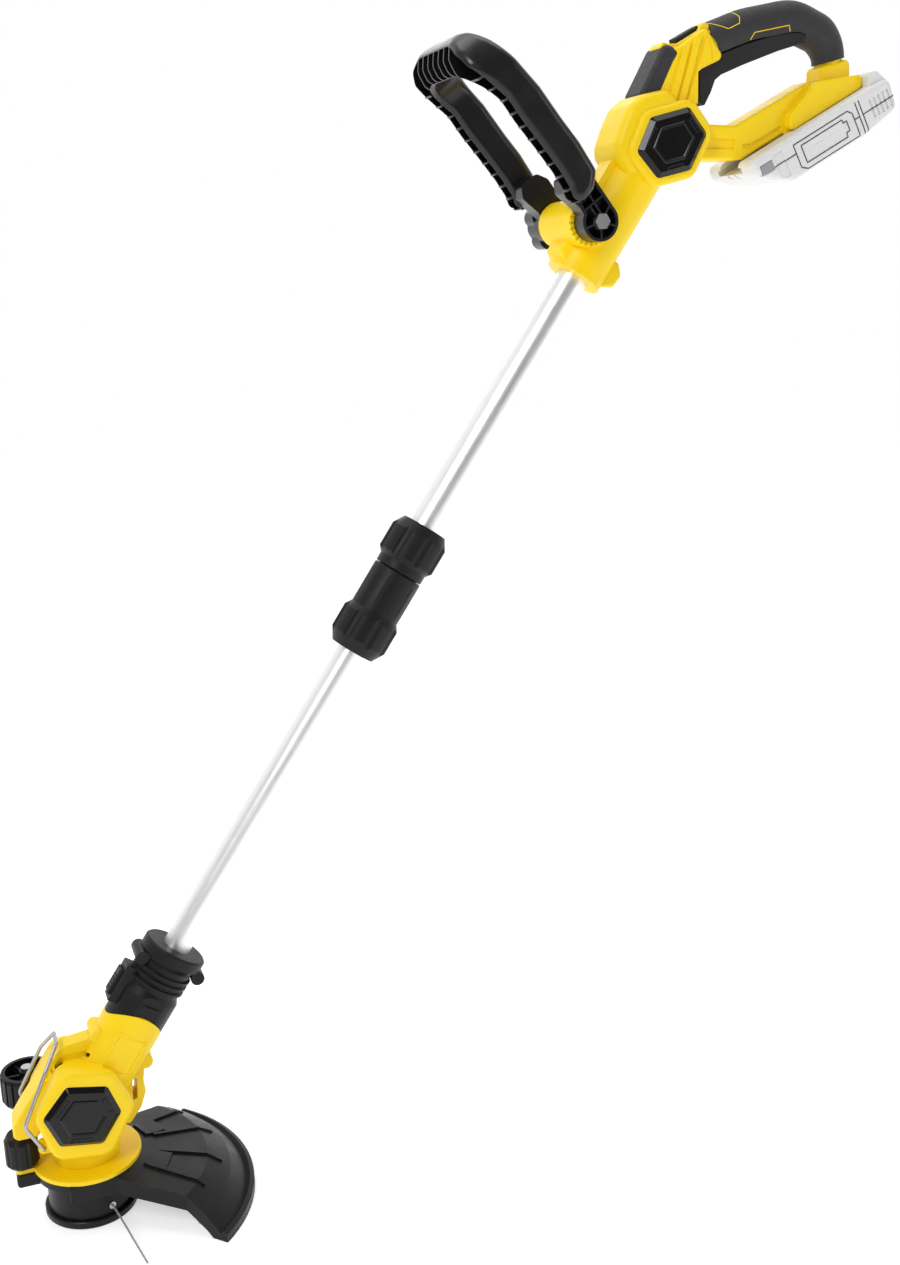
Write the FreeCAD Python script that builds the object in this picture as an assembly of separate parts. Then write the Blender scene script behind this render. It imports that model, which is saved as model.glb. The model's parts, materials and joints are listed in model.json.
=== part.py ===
import FreeCAD, Part
import math
import os

# Telescopic cordless string trimmer, in millimetres.
# Origin: centre of the spool's underside, on the ground. +Z runs up the spool's axis,
# +X towards the user, and the shaft rises towards +X in the plane Y = 0.

V = FreeCAD.Vector

# Shaft line: it crosses the spool axis at SHAFT_FOOT and leans back by TILT.
# Along it, s is the distance from SHAFT_FOOT, and h the distance forwards and up from it.
TILT = 34.8
SHAFT_FOOT = 98.5
SIN = math.sin(math.radians(TILT))
COS = math.cos(math.radians(TILT))

# Telescopic tubes
OUTER_TUBE = 14.0
INNER_TUBE = 12.5
TUBE_WALL = 1.0
OUTER_TUBE_SPAN = (512.0, 905.0)
INNER_TUBE_SPAN = (104.0, 565.0)
CLAMP_JOINT = 549.0

# Plastic mouldings
SKIN = 2.4
RUBBER = 2.1
GAP = 0.35
SCREW = 1.5
SCREW_HEAD = 2.9

# Spool and cutting line
SPOOL_WALL = 37.0
SPOOL_LIP = 40.6
SPOOL_TOP = 40.0
LIP_TOP = 7.0
LINE_RADIUS = 0.9
LINE_ROUTE = [(14.9, -34.6, 15.0), (20.3, -56.0, 12.4), (26.6, -82.0, 7.6), (33.2, -107.5, 2.9)]

# Head
FLANGE = 47.4
FLANGE_TOP = 52.5
FLANGE_THICK = 4.0
HEAD_HALF = 37.0
NECK = 27.5
NECK_END_S = 70.4
NECK_END_RADIUS = 31.6
ROLLER_X = -55.0
ROLLER_SPAN = (54.3, 83.7)
WHEEL_SPOT = (-42.0, 63.5)
WHEEL_RADIUS = 24.5
WHEEL_SPAN = (80.0, 108.0)
BAIL_PIVOT = (-37.0, 80.0)
BAIL_WIRE = 1.75

# Guard, about the spool axis
GUARD_RIM = 146.0
GUARD_SKIN = 3.0
GUARD_WALL = 15.0

# Handle housing
PIVOT_S = 888.4
PIVOT_H = 24.4
PIVOT_BOLT = 4.0
SADDLE_HALF = 33.0
FOOT_HALF = 24.0
BRACE_HALF = 15.0
WEB_HALF = 17.0
HOUSING_HALF = 26.0
RISER_HALF = 13.0
TRIGGER_HALF = 13.6
SKIRT_HALF = 8.0
TRIGGER_PIVOT = (702.0, 996.5)
TRIGGER_TRAVEL = 4.5
SLIDER_SPOT = (591.5, 993.5)
SLIDER_SLOPE = 27.0

# Battery: u runs along its rail, up and back, and v is square to it
BATTERY_SLOPE = 27.6
BATTERY_CORNER = (648.0, 895.0)
BATTERY_HALF = 38.0


# ------------------------------------------------------------------ shapes

def on_shaft(shape):
    """Turn a shape drawn about Z (x = -h, z = s) so that it lies along the shaft."""
    moved = shape.copy()
    lean = FreeCAD.Placement(V(0, 0, SHAFT_FOOT), FreeCAD.Rotation(V(0, 1, 0), TILT))
    moved.Placement = lean.multiply(moved.Placement)
    return moved


def shaft_point(s, h):
    """The (x, z) of a point given along and square to the shaft."""
    return (s * SIN - h * COS, SHAFT_FOOT + s * COS + h * SIN)


def battery_point(u, v):
    """The (x, z) of a point given along and square to the battery's rail."""
    slope = math.radians(BATTERY_SLOPE)
    x = BATTERY_CORNER[0] + u * math.cos(slope) - v * math.sin(slope)
    z = BATTERY_CORNER[1] + u * math.sin(slope) + v * math.cos(slope)
    return (x, z)


def box(x, y, z):
    return Part.makeBox(x[1] - x[0], y[1] - y[0], z[1] - z[0], V(x[0], y[0], z[0]))


def rod(radius, start, end):
    start, end = V(*start), V(*end)
    return Part.makeCylinder(radius, (end - start).Length, start, end - start)


def upright(radius, spot, z):
    return rod(radius, (spot[0], spot[1], z[0]), (spot[0], spot[1], z[1]))


def crosswise(radius, spot, y):
    """A rod along Y at spot = (x, z)."""
    return rod(radius, (spot[0], y[0], spot[1]), (spot[0], y[1], spot[1]))


def join(shapes):
    return shapes[0].multiFuse(shapes[1:]).removeSplitter()


def turned(profile):
    """Turn a closed (radius, z) outline about the Z axis."""
    points = [V(r, 0, z) for r, z in profile]
    face = Part.Face(Part.makePolygon(points + points[:1]))
    return face.revolve(V(0, 0, 0), V(0, 0, 1), 360)


def corner_arc(before, corner, after, radius):
    """Tangent points and middle of the arc that rounds a corner."""
    back = (before - corner)
    ahead = (after - corner)
    half = back.getAngle(ahead) / 2
    reach = min(radius / math.tan(half), 0.48 * back.Length, 0.48 * ahead.Length)
    radius = reach * math.tan(half)
    back.normalize()
    ahead.normalize()
    bisector = back + ahead
    bisector.normalize()
    middle = corner + bisector * (radius / math.sin(half) - radius)
    return corner + back * reach, middle, corner + ahead * reach, radius


def outline(points, radius):
    """A closed face in the XZ plane with every corner rounded; a corner may carry its own radius."""
    corners = [V(p[0], 0, p[1]) for p in points]
    radii = [p[2] if len(p) > 2 else radius for p in points]
    arcs = []
    for i, corner in enumerate(corners):
        after = corners[(i + 1) % len(corners)]
        arcs.append(corner_arc(corners[i - 1], corner, after, radii[i]))
    edges = []
    for i, (start, middle, end, _) in enumerate(arcs):
        edges.append(Part.Arc(start, middle, end).toShape())
        edges.append(Part.LineSegment(end, arcs[(i + 1) % len(arcs)][0]).toShape())
    return Part.Face(Part.Wire(edges))


def prism(points, y, radius=3.0, inset=0.0):
    """An outline in the XZ plane drawn out from y[0] to y[1], less inset all round."""
    face = outline(points, radius)
    if inset:
        face = face.makeOffset2D(-inset)
    face.translate(V(0, y[0] + inset, 0))
    return face.extrude(V(0, y[1] - y[0] - 2 * inset, 0))


def soften(solid, radius, wanted):
    """Fillet the wanted edges, with a smaller radius where the full one doesn't fit."""
    edges = [edge for edge in solid.Edges if wanted(edge)]
    for share in (1.0, 0.7, 0.45, 0.25):
        try:
            result = solid.makeFillet(radius * share, edges)
        except Part.OCCError:
            continue
        if result.isValid() and result.Solids:
            return result
    return solid


def on_side(half):
    """Picks the edges that lie in the planes y = half and y = -half."""
    return lambda edge: all(abs(abs(v.Y) - half) < 0.01 for v in edge.Vertexes)


def at_height(z):
    return lambda edge: all(abs(v.Z - z) < 0.01 for v in edge.Vertexes)


def soft_prism(points, half, radius=3.0, rim=4.0, inset=0.0):
    """A prism across the plane Y = 0 with its two rims rounded."""
    solid = prism(points, (-half, half), radius, inset)
    return soften(solid, max(rim - inset, 0.6), on_side(half - inset))


def route(points, radii):
    """Straight runs through points, joined by tangent arcs."""
    corners = [V(*p) for p in points]
    edges = []
    start = corners[0]
    for i in range(1, len(corners) - 1):
        enter, middle, leave, _ = corner_arc(corners[i - 1], corners[i], corners[i + 1], radii[i - 1])
        edges.append(Part.LineSegment(start, enter).toShape())
        edges.append(Part.Arc(enter, middle, leave).toShape())
        start = leave
    edges.append(Part.LineSegment(start, corners[-1]).toShape())
    return Part.Wire(edges)


def piped(points, radii, radius):
    """A round bar that follows a route."""
    path = route(points, radii)
    along = V(*points[1]) - V(*points[0])
    section = Part.Wire(Part.makeCircle(radius, V(*points[0]), along))
    return path.makePipeShell([section], True, False)


def spring(radius, wire, spot, z, turns):
    """A closed-form coil spring with its axis along Z."""
    height = z[1] - z[0] - 2 * wire
    helix = Part.makeHelix(height / turns, height, radius)
    section = Part.Wire(Part.makeCircle(wire, V(radius, 0, 0), V(0, 1, 0)))
    coil = Part.Wire(helix.Edges).makePipeShell([section], True, True)
    coil.translate(V(spot[0], spot[1], z[0] + wire))
    return coil


def around(shape, count, centre=(0, 0)):
    """Copies of a shape spaced evenly about an upright axis."""
    copies = []
    for i in range(count):
        copy = shape.copy()
        copy.rotate(V(centre[0], centre[1], 0), V(0, 0, 1), 360.0 * i / count)
        copies.append(copy)
    return copies


def near_half(shape):
    return shape.common(box((-400, 1200), (-200, 0), (-50, 1200)))


def far_half(shape):
    return shape.common(box((-400, 1200), (0, 200), (-50, 1200)))


def largest(shape):
    """A shape's largest solid, without the slivers a cut can leave behind."""
    return max(shape.Solids, key=lambda solid: solid.Volume)


def mirrored(shape):
    """The same shape on the other side of the plane Y = 0."""
    return shape.mirror(V(0, 0, 0), V(0, 1, 0))


def pair(shape):
    """A piece and its twin on the other side, as two solids."""
    return Part.makeCompound([shape, mirrored(shape)])


def screw(spot, head_y, tip_y):
    """A cross-head screw along Y with its head on the far side."""
    body = join([crosswise(SCREW, spot, (tip_y, head_y)),
                 crosswise(SCREW_HEAD, spot, (head_y - 2.2, head_y))])
    slot_long, slot_short = 1.9, 0.35
    cross = [box((spot[0] - a, spot[0] + a), (head_y - 1.0, head_y + 0.1), (spot[1] - b, spot[1] + b))
             for a, b in ((slot_long, slot_short), (slot_short, slot_long))]
    return body.cut(join(cross))


def screw_room(spot, head_y, mouth_y, tip_y):
    """The hole and counterbore that a screw sits in."""
    return join([crosswise(SCREW, spot, (tip_y - 0.5, head_y)),
                 crosswise(SCREW_HEAD + 0.3, spot, (head_y - 2.2, mouth_y))])


# ------------------------------------------------------------------ shaft

def outer_tube():
    low, high = OUTER_TUBE_SPAN
    return on_shaft(rod(OUTER_TUBE, (0, 0, low), (0, 0, high)).cut(
        rod(OUTER_TUBE - TUBE_WALL, (0, 0, low), (0, 0, high))))


def inner_tube():
    low, high = INNER_TUBE_SPAN
    return on_shaft(rod(INNER_TUBE, (0, 0, low), (0, 0, high)).cut(
        rod(INNER_TUBE - TUBE_WALL, (0, 0, low), (0, 0, high))))


def slide_bush():
    """Ring in the upper end of the inner tube that centres it in the outer one."""
    high = INNER_TUBE_SPAN[1]
    lip, sleeve, bore = OUTER_TUBE - TUBE_WALL - 0.08, INNER_TUBE - TUBE_WALL, INNER_TUBE - 3.5
    return on_shaft(turned([(bore, high - 14), (sleeve, high - 14), (sleeve, high),
                            (lip, high), (lip, high + 5), (lip - 1, high + 6), (bore, high + 6)]))


def lobed(profile, lobes, reach, z, size):
    """A turned knob with finger grooves cut into its widest band."""
    body = turned(profile)
    groove = rod(size, (reach + size * 0.72, 0, z[0]), (reach + size * 0.72, 0, z[1]))
    return body.cut(join(around(groove, lobes)))


def clamp_sleeve():
    """Fixed half of the telescopic clamp, with the thread that the nut runs on."""
    top = CLAMP_JOINT + 46.0
    low = OUTER_TUBE_SPAN[0]
    body = lobed([(OUTER_TUBE, low), (18.6, low), (18.6, CLAMP_JOINT), (21.4, CLAMP_JOINT),
                  (22.4, CLAMP_JOINT + 1), (22.4, CLAMP_JOINT + 8), (26.6, CLAMP_JOINT + 13),
                  (26.6, CLAMP_JOINT + 36), (20.4, top), (OUTER_TUBE, top)],
                 8, 26.6, (CLAMP_JOINT + 6, top + 1), 7.0)
    threads = [turned([(17.7, s), (18.7, s - 0.8), (18.7, s + 0.8)])
               for s in range(int(low) + 6, int(CLAMP_JOINT) - 4, 4)]
    return on_shaft(body.cut(join(threads)))


def clamp_nut():
    """Twist nut and sleeve of the clamp; its cone closes the collet on the inner tube."""
    low, top = CLAMP_JOINT - 80.0, CLAMP_JOINT - GAP
    body = lobed([(INNER_TUBE + 0.4, low), (20.0, low), (26.6, low + 11), (26.6, low + 33),
                  (22.6, low + 39), (22.6, top - 1), (21.6, top), (18.6 + GAP, top),
                  (18.6 + GAP, low + 42.5), (17.2, low + 42.5), (15.6, low + 10),
                  (INNER_TUBE + 0.4, low + 10)],
                 8, 26.6, (low - 1, low + 37), 7.0)
    ribs = around(box((21.9, 23.2), (-1.2, 1.2), (low + 44, top - 6)), 12)
    grooves = around(box((22.2, 24), (-0.8, 0.8), (low + 44, top - 6)), 12)
    return on_shaft(body.fuse(ribs[0].common(body)).cut(join(grooves)))


def collet():
    """Slotted ring that grips the inner tube when the nut is turned."""
    low, top = CLAMP_JOINT - 69.0, OUTER_TUBE_SPAN[0]
    body = turned([(INNER_TUBE + 0.08, low), (15.2, low), (16.8, top), (INNER_TUBE + 0.08, top)])
    slots = around(box((10, 20), (-0.9, 0.9), (low - 1, top - 6)), 4)
    return on_shaft(body.cut(join(slots)))


# ------------------------------------------------------------------ collar

COLLAR_TOP = 164.0
COLLAR_BODY = 27.0
BUTTON_SPAN = (99.0, 134.0)
BUTTON_H = 33.0


def neck_end(grow=0.0):
    """Round-ended solid that the neck of the head ends in, as a bar along Y."""
    bar = rod(NECK_END_RADIUS + grow, (0, -60, NECK_END_S), (0, 60, NECK_END_S))
    return bar.fuse(box((-60, 60), (-60, 60), (-40, NECK_END_S)))


def collar_form():
    """Black collar round the foot of the inner tube, drawn about Z."""
    body = turned([(0, 60), (COLLAR_BODY, 60), (COLLAR_BODY, 118), (COLLAR_BODY - 3, 124),
                   (COLLAR_BODY - 3, 148), (29.0, 154), (29.0, COLLAR_TOP - 1.5),
                   (27.5, COLLAR_TOP), (0, COLLAR_TOP)])
    ears = [rod(6.0, (-26.5, -14, 147), (-26.5, 14, 147)), rod(6.0, (28.0, -14, 149), (28.0, 14, 149))]
    window = box((-BUTTON_H, -20), (-9, 9), BUTTON_SPAN)
    panels = [box((-15, 15), (y - 2, y + 2), z) for y in (-COLLAR_BODY, COLLAR_BODY)
              for z in ((98, 110), (113, 121), (127, 147))]
    ridges = [turned([(COLLAR_BODY - 4, s), (COLLAR_BODY - 0.6, s), (COLLAR_BODY - 0.6, s + 2.2),
                      (COLLAR_BODY - 4, s + 2.2)]) for s in (128, 134, 140)]
    body = join([body, window] + ears + ridges)
    body = body.cut(join(panels[:2] + panels[3:5]))
    return body.cut(neck_end())


def collar_cavity():
    """Room for the index sleeve, and for the release button and its spring."""
    sleeve_room = turned([(0, 60), (21.3, 60), (21.3, 153), (19.3, 153), (19.3, 158),
                          (INNER_TUBE + 0.35, 158), (INNER_TUBE + 0.35, 170), (0, 170)])
    button_room = box((-BUTTON_H - 1, -15), (-6.4, 6.4), (BUTTON_SPAN[0] + 4, BUTTON_SPAN[1] - 6))
    return sleeve_room.fuse(button_room)


COLLAR_SCREWS = [(147.0, 26.5), (149.0, -28.0)]


def collar_shell(side):
    shell = on_shaft(collar_form().cut(collar_cavity()))
    rooms = [screw_room(shaft_point(s, h), 12.5, 15, -9) for s, h in COLLAR_SCREWS]
    return side(shell.cut(join(rooms)))


def collar_screws():
    return Part.makeCompound([screw(shaft_point(s, h), 12.5, -9) for s, h in COLLAR_SCREWS])


def head_release():
    """Release button for turning the head, in the front of the collar."""
    low, high = BUTTON_SPAN[0] + 4.4, BUTTON_SPAN[1] - 6.4
    cap = box((-BUTTON_H - 3.0, -26.0), (-6.0, 6.0), (low, high))
    cap = soften(cap, 1.6, lambda edge: all(v.X < -BUTTON_H - 2.9 for v in edge.Vertexes))
    grooves = [box((-BUTTON_H - 4, -BUTTON_H - 2.2), (-5, 5), (s, s + 1.2)) for s in (108, 112, 116, 120)]
    return on_shaft(cap.cut(join(grooves)))


def index_sleeve():
    """Sleeve on the foot of the inner tube; the head turns about it and locks in its notches."""
    body = turned([(INNER_TUBE, 106), (20.9, 106), (20.9, 152.6), (19.0, 152.6), (19.0, 157.6),
                   (INNER_TUBE, 157.6)])
    notches = around(box((18.6, 22), (-3, 3), (109, 121)), 4)
    return on_shaft(body.cut(join(notches)))


# ------------------------------------------------------------------ head

DRUM = [(-43, 113), (-17.5, 151.5), (26, 146), (42.5, 107), (19, 64.5), (-29, 70.5)]
HEAD_BADGE = [(-36, 114), (-14, 140), (20, 133), (30, 106), (12, 79), (-24, 85)]
FIN = [(14, 166), (-11, 162.5), (-18, 157), (-51, 112), (-60, 98), (-61, 88), (-57, 84.2),
       (-40, 84.2), (-20, 120), (20, 130)]
BACK_STRAP = [(40, 140), (57, 136), (54, 116), (55, 104), (50, 90), (38, 74), (28, 84), (36, 108)]
NECK_BOSSES = [(67.0, 25.0), (62.0, -26.0)]
HEAD_SCREWS = [shaft_point(67.0, 25.0), shaft_point(62.0, -26.0), (-27.0, 86.0), (27.0, 86.0)]


def head_form(inset):
    """The head's outside when inset is 0, and the room inside it otherwise."""
    drum = soft_prism(DRUM, HEAD_HALF, 15, 5, inset)
    neck = on_shaft(rod(NECK - inset, (0, 0, 20), (0, 0, 110)).common(neck_end(-inset)))
    pedestal = upright(29.0 - inset, (0, 0), (FLANGE_TOP, 92.0))
    parts = [drum, neck, pedestal]
    if not inset:
        fin = soft_prism(FIN, 14, 4, 2.5)
        taper = [prism([(-25, 175), (15, 175), (15, 150), (-40, 133)], (y, y + 12), 1) for y in (-20.5, 8.5)]
        parts.append(fin.cut(join(taper)))
        parts.append(soft_prism(BACK_STRAP, 11, 4, 2))
        parts += [soften(crosswise(6.5, shaft_point(s, h), (-14, 14)), 1.2, on_side(14))
                  for s, h in NECK_BOSSES]
        parts += [crosswise(4.8, BAIL_PIVOT, y) for y in ((-26.5, -16), (16, 26.5))]
        parts += [prism([(-41, 78), (-33, 84), (-24, 90), (-24, 74), (-36, 75.5)], y, 1)
                  for y in ((-26.5, -16), (16, 26.5))]
        parts.append(wheel_arm_root())
    return join(parts)


def wheel_arm_root():
    """Bracket on the far side that carries the edge wheel's axle."""
    plan = [V(-33, 34, 0), V(-14, 34, 0), V(-31, 64, 0), V(-51, 64, 0), V(-50, 50, 0), V(-36, 40, 0)]
    plate = Part.Face(Part.makePolygon(plan + plan[:1])).extrude(V(0, 0, 7))
    plate.translate(V(0, 0, 72))
    root = join([plate, upright(10.0, WHEEL_SPOT, (72, 79)), box((-31, -15), (34, 40), (72, 92))])
    return root.cut(prism(HEAD_BADGE, (30, 50), 4))


def neck_panel():
    """Sunk panels on the two flanks of the neck."""
    panel = box((-12, 11), (-30, -NECK + 2.2), (50, 83))
    return on_shaft(panel.fuse(mirrored(panel)))


def head_slots():
    """Dark grooves that part the fin and the back strap from the drum."""
    fin_slot = prism([(12, 154), (-14, 154), (-24, 142), (-20, 140), (-12, 150), (12, 150)], (-14.5, -8), 0.8)
    strap_slot = prism([(44, 122), (48, 118), (47, 100), (43, 98)], (-12, 12), 1)
    return join([fin_slot, mirrored(fin_slot), strap_slot])


def head_shell(side):
    posts = [crosswise(4.2, spot, (-HEAD_HALF + 2, HEAD_HALF - 2)) for spot in HEAD_SCREWS[2:]]
    posts += [crosswise(4.2, spot, (-14, 14)) for spot in HEAD_SCREWS[:2]]
    solid = head_form(0)
    shell = solid.cut(head_form(SKIN)).fuse(solid.common(join(posts))).cut(join([neck_panel(), head_slots()]))
    rooms = [screw_room(spot, 12.0, 15, -10) for spot in HEAD_SCREWS[:2]]
    rooms += [screw_room(spot, HEAD_HALF - 4, HEAD_HALF + 1, -16) for spot in HEAD_SCREWS[2:]]
    bores = [crosswise(BAIL_WIRE + 0.1, BAIL_PIVOT, y) for y in ((-27, -20), (20, 27))]
    bores.append(upright(2.05, (ROLLER_X, 0), (60, 88.5)))
    bores.append(upright(2.5, WHEEL_SPOT, (60, 90)))
    bores.append(upright(20.0, (0, 0), (FLANGE_TOP - 1, 72)))
    bores.append(on_shaft(rod(14.0, (0, 0, 60), (0, 0, 120))))
    return side(shell.cut(join(rooms + bores + [motor_room()])))


def motor_room():
    return upright(18.9, (0, 0), (70, 136))


def head_screws():
    neck = [screw(spot, 12.0, -10) for spot in HEAD_SCREWS[:2]]
    drum = [screw(spot, HEAD_HALF - 4, -16) for spot in HEAD_SCREWS[2:]]
    return Part.makeCompound(neck + drum)


def badge(points, y, thick, inset):
    """Six-sided cover with sloping edges, facing -Y."""
    base = outline(points, 5)
    base.translate(V(0, y, 0))
    top = outline(points, 5).makeOffset2D(-inset)
    top.translate(V(0, y - thick, 0))
    return Part.makeLoft([base.OuterWire, top.OuterWire], True)


def motor_can():
    body = turned([(0, 74), (15.5, 74), (17.8, 76), (17.8, 124), (16.5, 126), (0, 126)])
    flats = [box((-20, 20), y, (80, 120)) for y in ((-20, -16.6), (16.6, 20))]
    return body.cut(join(flats + [upright(5.0, (0, 0), (73, 80)), upright(2.0, (0, 0), (70, 130))]))


def motor_end_cap():
    body = turned([(2.0, 126), (16.2, 126), (16.2, 131), (8, 134), (2.0, 134)])
    return body.cut(join(around(box((10, 14), (-3, 3), (125, 129)), 2)))


def motor_bush():
    return turned([(1.66, 74), (5.0, 74), (5.0, 80), (1.66, 80)])


def motor_plate():
    """Steel plate that the motor is screwed to, on top of the base flange."""
    plate = upright(19.8, (0, 0), (66, 69.6))
    spacer = [upright(3.2, spot, (69.6, 74)) for spot in ((9.5, 0), (-9.5, 0))]
    return join([plate] + spacer).cut(upright(6.0, (0, 0), (60, 80)))


def flange():
    """Round yellow base of the head, with the tab that holds the roller's axle."""
    low = FLANGE_TOP - FLANGE_THICK
    disc = upright(FLANGE, (0, 0), (low, FLANGE_TOP))
    disc = soften(disc, 0.8, at_height(FLANGE_TOP))
    tab = box((-62, -40), (-9, 9), (low, FLANGE_TOP))
    tab = soften(tab, 5, lambda e: all(v.X < -61 for v in e.Vertexes) and e.Vertexes[0].Y == e.Vertexes[1].Y)
    ring_wall = turned([(16.5, FLANGE_TOP), (19.6, FLANGE_TOP), (19.6, 66), (16.5, 66)])
    holes = [upright(11.5, (0, 0), (40, 70)), upright(2.05, (ROLLER_X, 0), (40, 60))]
    holes += around(upright(SCREW, (39, 0), (40, 51.6)), 3)
    return join([disc, tab, ring_wall]).cut(join(holes))


def roller_axle():
    return join([upright(2.0, (ROLLER_X, 0), (46.0, 88.0)), upright(3.6, (ROLLER_X, 0), (44.4, 46.5))])


def front_roller():
    low, high = ROLLER_SPAN
    body = turned([(2.3, low), (12.4, low), (14.6, low + 3), (14.6, high - 5), (11.6, high), (2.3, high)])
    grooves = around(upright(3.0, (ROLLER_X + 16.6, 0), (low - 1, high + 1)), 10, (ROLLER_X, 0))
    body.translate(V(ROLLER_X, 0, 0))
    return body.cut(join(grooves))


def wheel_axle():
    low, high = WHEEL_SPAN
    return join([upright(2.4, WHEEL_SPOT, (72, high + 1)), upright(5.0, WHEEL_SPOT, (high + 0.4, high + 3))])


def edge_wheel():
    low, high = WHEEL_SPAN
    rim = WHEEL_RADIUS
    body = turned([(2.5, low), (7, low), (7, low + 9), (rim - 5, low + 9), (rim - 5, low), (rim - 1.5, low),
                   (rim, low + 3), (rim, high - 3), (rim - 1.5, high), (rim - 5, high),
                   (rim - 5, low + 12), (7, low + 12), (7, high), (2.5, high)])
    spokes = around(box((6, rim - 4), (-1, 1), (low + 1, high - 4)), 6)
    treads = around(box((rim - 1.6, rim + 2), (-1.1, 1.1), (low - 1, high + 1)), 20)
    wheel = join([body] + spokes).cut(join(treads))
    wheel.translate(V(WHEEL_SPOT[0], WHEEL_SPOT[1], 0))
    return wheel


def wire_bail():
    """Bent wire plant guard that swings on two stub ends."""
    x, z = BAIL_PIVOT
    side = [(x, -21, z), (x, -29.5, z), (-51, -29.5, 106), (-29, -23, 150), (-17, -10, 168)]
    points = side + [(p[0], -p[1], p[2]) for p in reversed(side)]
    return piped(points, [2.6, 6, 12, 4, 4, 12, 6, 2.6], BAIL_WIRE)


# ------------------------------------------------------------------ guard and spool

GUARD_PROFILE = [(30, 48.2), (47, 48.2), (60, 44), (105, 35), (125, 21), (141, 5), (146, 0)]
GUARD_PLAN = [(-20, -46), (20, -45), (74, -75), (104, -106), (160, -106)]


def guard_layer(drop, far):
    """Turned solid under the guard's upper surface, lowered by drop."""
    points = [(r, z - drop) for r, z in GUARD_PROFILE]
    low = -60.0
    return turned([(28, low), (28, 48.2 - drop)] + points + [(far, points[-1][1]), (far, low)])


def guard_plan(inset):
    half = [V(x, y, 0) for x, y in GUARD_PLAN]
    other = [V(x, -y, 0) for x, y in reversed(GUARD_PLAN)]
    face = Part.Face(Part.makePolygon(half + other + half[:1]))
    if inset:
        face = face.makeOffset2D(-inset)
    face.translate(V(0, 0, -70))
    return face.extrude(V(0, 0, 200))


def guard_canopy():
    """Curved canopy over the cutting line with walls down its two sides and outer edge."""
    outer = guard_layer(0, GUARD_RIM).common(upright(GUARD_RIM, (0, 0), (-60, 60)))
    deep = guard_layer(GUARD_WALL, 200).common(upright(190, (0, 0), (-80, 60)))
    slab = outer.cut(deep).common(guard_plan(0))
    hollow = guard_layer(GUARD_SKIN, 200).common(upright(GUARD_RIM - 3.5, (0, 0), (-80, 60)))
    hollow = hollow.common(guard_plan(3.0))
    return slab.cut(hollow).common(box((-60, 200), (-150, 150), (0, 80))).cut(line_cutter())


def guard_ribs():
    """Raised bead at the rim, radial ribs and stepped blocks on the canopy."""
    bead = turned([(139.0, 7.0), (142.0, 9.5), (145.8, 7.5), (145.8, 0.4), (142, 0.4)])
    bead = bead.common(guard_plan(0.2))
    raised = guard_layer(-2.2, 200).cut(guard_layer(1.0, 220)).common(upright(126, (0, 0), (-60, 80)))
    strips = []
    ribs = ((-33, 58, 112, 2.0), (-12, 62, 118, 1.6), (12, 62, 118, 1.6), (33, 58, 112, 2.0))
    for angle, start, end, half in ribs:
        strip = box((start, end), (-half, half), (-10, 70))
        strip.rotate(V(0, 0, 0), V(0, 0, 1), angle)
        strips.append(strip)
    for angle in (-24, 24):
        pad = box((54, 74), (-11, 11), (-10, 70))
        pad.rotate(V(0, 0, 0), V(0, 0, 1), angle)
        strips.append(pad)
    return [bead, raised.common(join(strips))]


def guard():
    hub = turned([(30, 41.0), (46.0, 41.0), (46.0, 48.2), (22.0, 48.2), (22.0, 44.5), (30, 44.5)])
    nose = box((-62, -40), (-11, 11), (37, 48.2))
    nose = soften(nose, 3, lambda e: all(v.X < -61.9 for v in e.Vertexes))
    body = join([guard_canopy(), hub, nose] + guard_ribs())
    cuts = around(upright(SCREW, (39, 0), (40, 60)), 3)
    cuts += around(upright(SCREW_HEAD + 0.2, (39, 0), (34, 41.0)), 3)
    cuts.append(upright(4.4, (ROLLER_X, 0), (30, 60)))
    cuts.append(upright(38.2, (0, 0), (-10, 40.6)))
    return body.cut(join(cuts))


def guard_screws():
    """Three screws from below that hold the guard to the flange."""
    one = join([upright(SCREW, (39, 0), (41.0, 51.2)), upright(SCREW_HEAD, (39, 0), (40.75, 41.0))])
    return Part.makeCompound(around(one, 3))


def line_cutter():
    """Steel blade inside the guard's side wall that trims the line to length."""
    blade = box((114, 127), (3.4, 5.0), (8, 14.5))
    blade.rotate(V(0, 0, 0), V(0, 0, 1), -46.0)
    return blade


def motor_shaft():
    return turned([(0, 12), (1.6, 12), (1.6, 132), (0, 132)])


def drive_hub():
    """Moulded hub pressed on the motor shaft that carries the spool housing."""
    return turned([(1.6, 28.5), (8.0, 28.5), (8.0, 36.4), (10.8, 36.4), (10.8, 40.0), (6.0, 46.0),
                   (1.6, 46.0)])


def spool_housing():
    low = LIP_TOP
    body = turned([(8.0, 36.4), (SPOOL_WALL - 2.6, 36.4), (SPOOL_WALL - 2.6, low), (SPOOL_WALL, low),
                   (SPOOL_WALL, SPOOL_TOP - 1.5), (SPOOL_WALL - 1.5, SPOOL_TOP), (10.8, SPOOL_TOP),
                   (10.8, 36.4)])
    windows = around(line_window(3.2), 2)
    vents = around(box((20, 27), (-3, 3), (30, 50)), 6)
    return body.cut(join(windows + vents))


def line_window(radius):
    start = LINE_ROUTE[0]
    reach = math.hypot(start[0], start[1])
    inside = tuple(c * (SPOOL_WALL - 4) / reach for c in start[:2])
    outside = tuple(c * (SPOOL_WALL + 4) / reach for c in start[:2])
    return rod(radius, (inside[0], inside[1], start[2]), (outside[0], outside[1], start[2]))


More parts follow.
